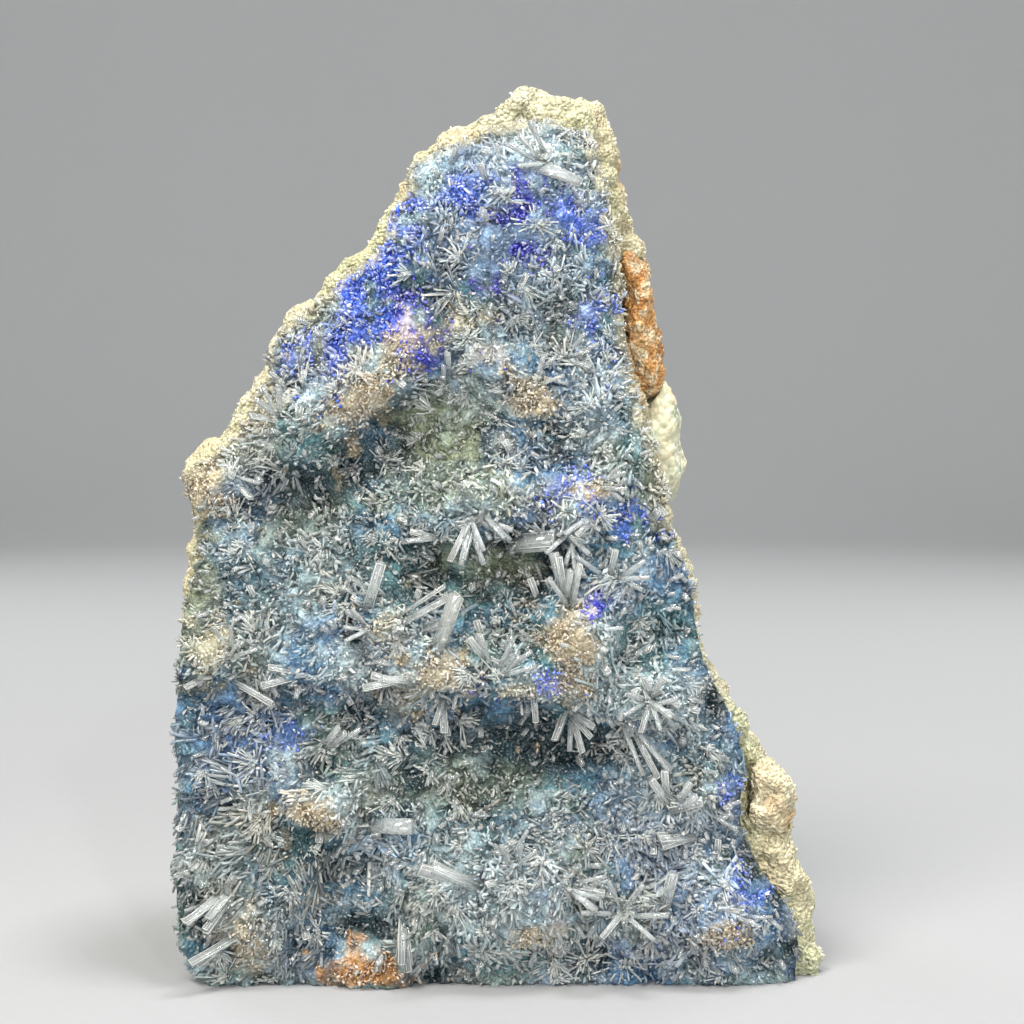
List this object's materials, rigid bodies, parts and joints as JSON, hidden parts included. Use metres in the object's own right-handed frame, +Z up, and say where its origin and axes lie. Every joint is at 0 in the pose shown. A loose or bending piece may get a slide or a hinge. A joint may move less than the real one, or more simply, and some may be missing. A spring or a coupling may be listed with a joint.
{
  "type": "mineral specimen",
  "caption": "Upright plate of blue aragonite crystals on a cream host rock, broken to a blunt point at the top and flat at the base, to stand on a shelf as a display piece.",
  "frame": {"origin": "middle of the base's bounding rectangle, on the surface that the piece stands on", "axes": "+Z up along the plate's height, the crystals face -Y, and +X is to the right of someone who faces them"},
  "size_m": [0.0867, 0.043, 0.1201],
  "materials": {
    "host_rock": "matt, rough, broken",
    "aragonite": "glassy prisms and needles",
    "limonite": "earthy, matt",
    "calcite": "waxy, slightly translucent lumps"
  },
  "bodies": {
    "root": {"matrix": "host_rock", "aragonite_crust": "aragonite", "limonite_seam": "limonite", "calcite_lobe_upper": "calcite", "calcite_lobe_lower": "calcite"}
  },
  "joints": []
}
